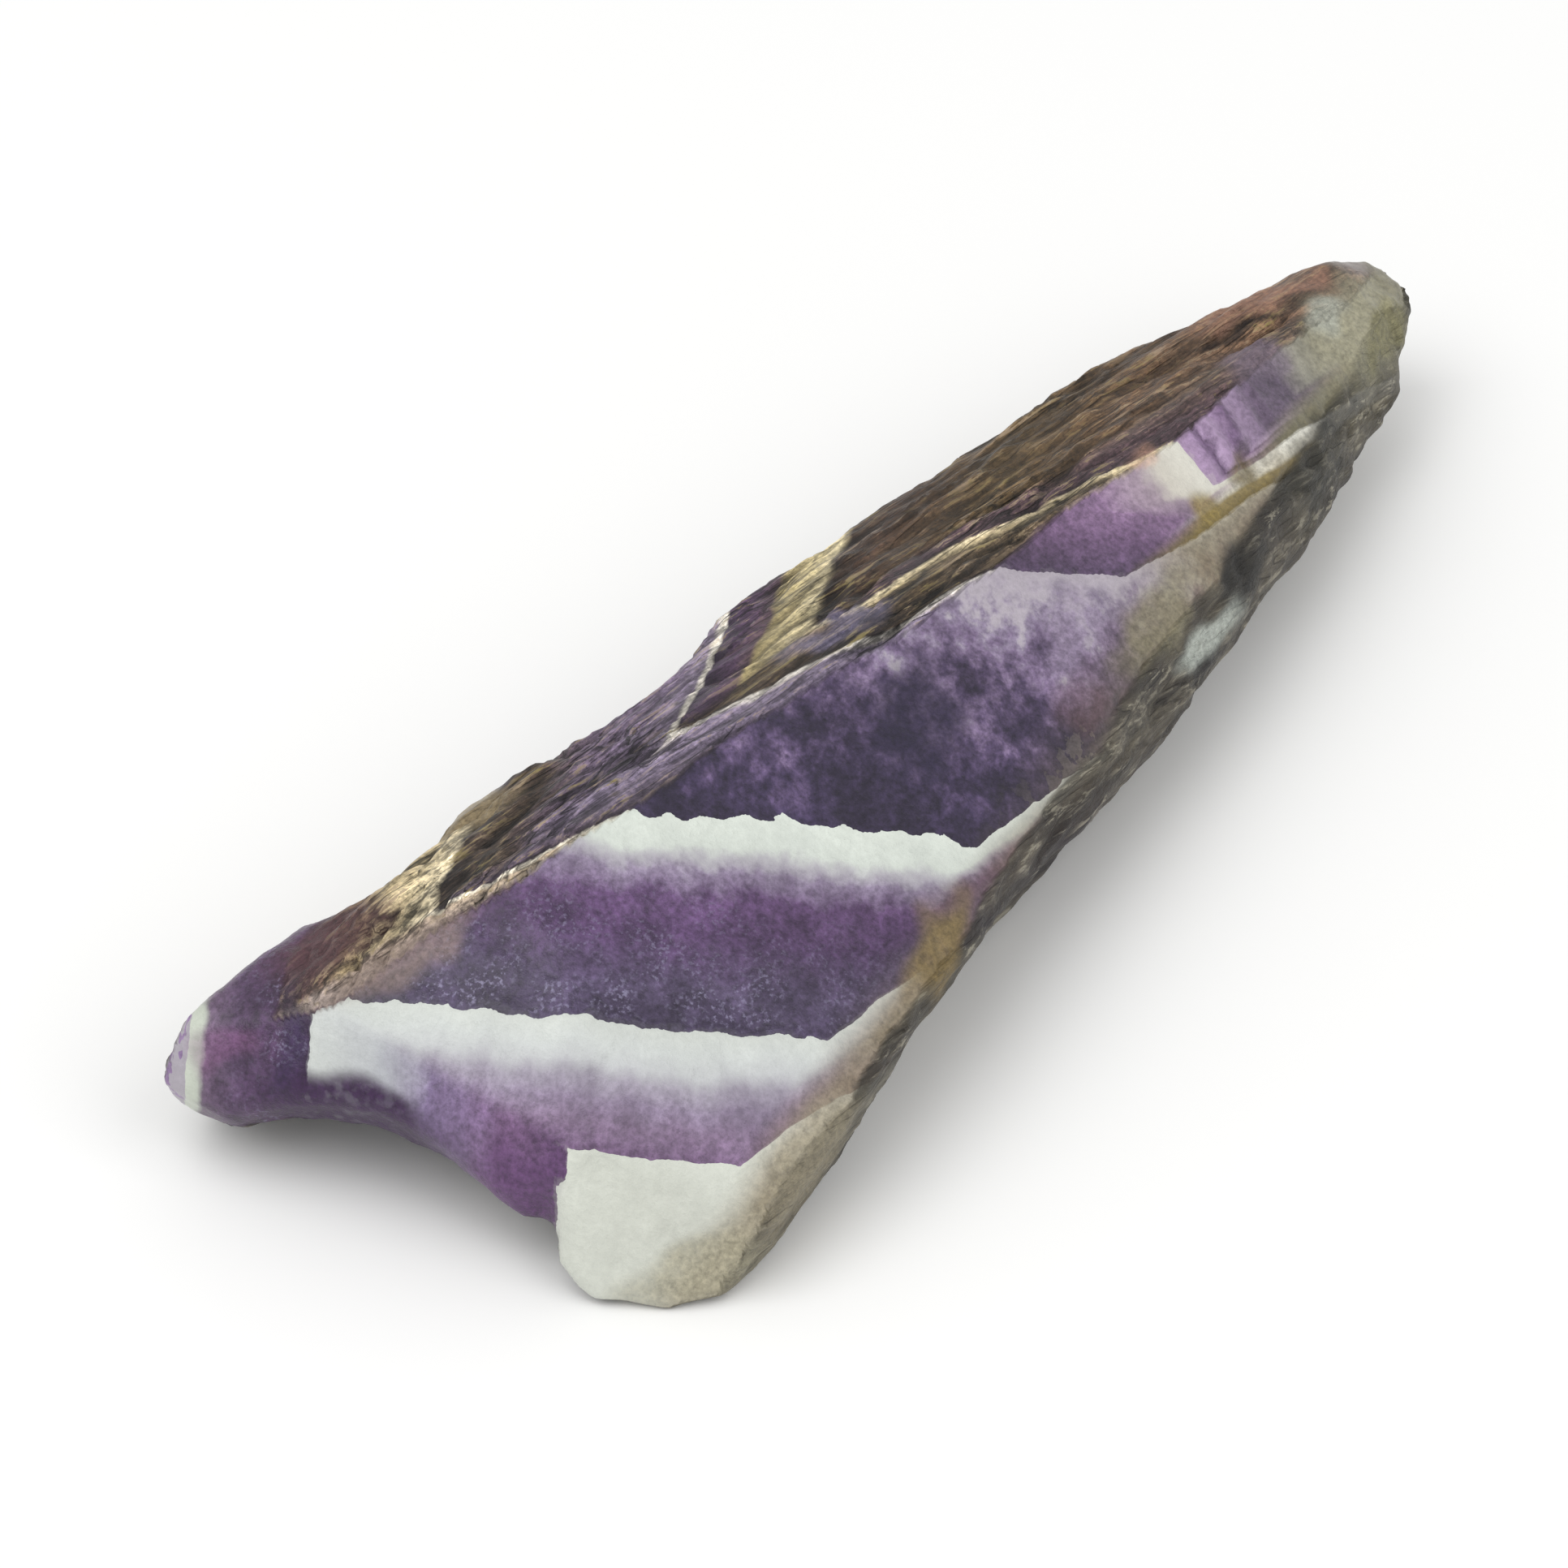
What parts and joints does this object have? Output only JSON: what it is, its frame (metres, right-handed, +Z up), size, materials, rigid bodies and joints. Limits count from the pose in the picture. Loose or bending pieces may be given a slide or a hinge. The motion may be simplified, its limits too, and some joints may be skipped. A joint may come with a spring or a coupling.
{
  "type": "chevron amethyst",
  "caption": "Rough, pointed piece of banded purple and white quartz, with a ridge along its top, fibrous sides, a hollowed blunt end and a flat to lie on.",
  "frame": {"origin": "on the resting plane, below the middle of the stone's box", "axes": "+X along the stone towards its point, +Z up, and the banded face looks to -Y and up"},
  "size_m": [0.076, 0.0262, 0.013],
  "materials": {
    "banded_quartz": "broken quartz, purple with white bands, waxy to glassy lustre on the smooth face and duller on the fibrous sides"
  },
  "bodies": {
    "root": {"chevron_amethyst": "banded_quartz"}
  },
  "joints": []
}
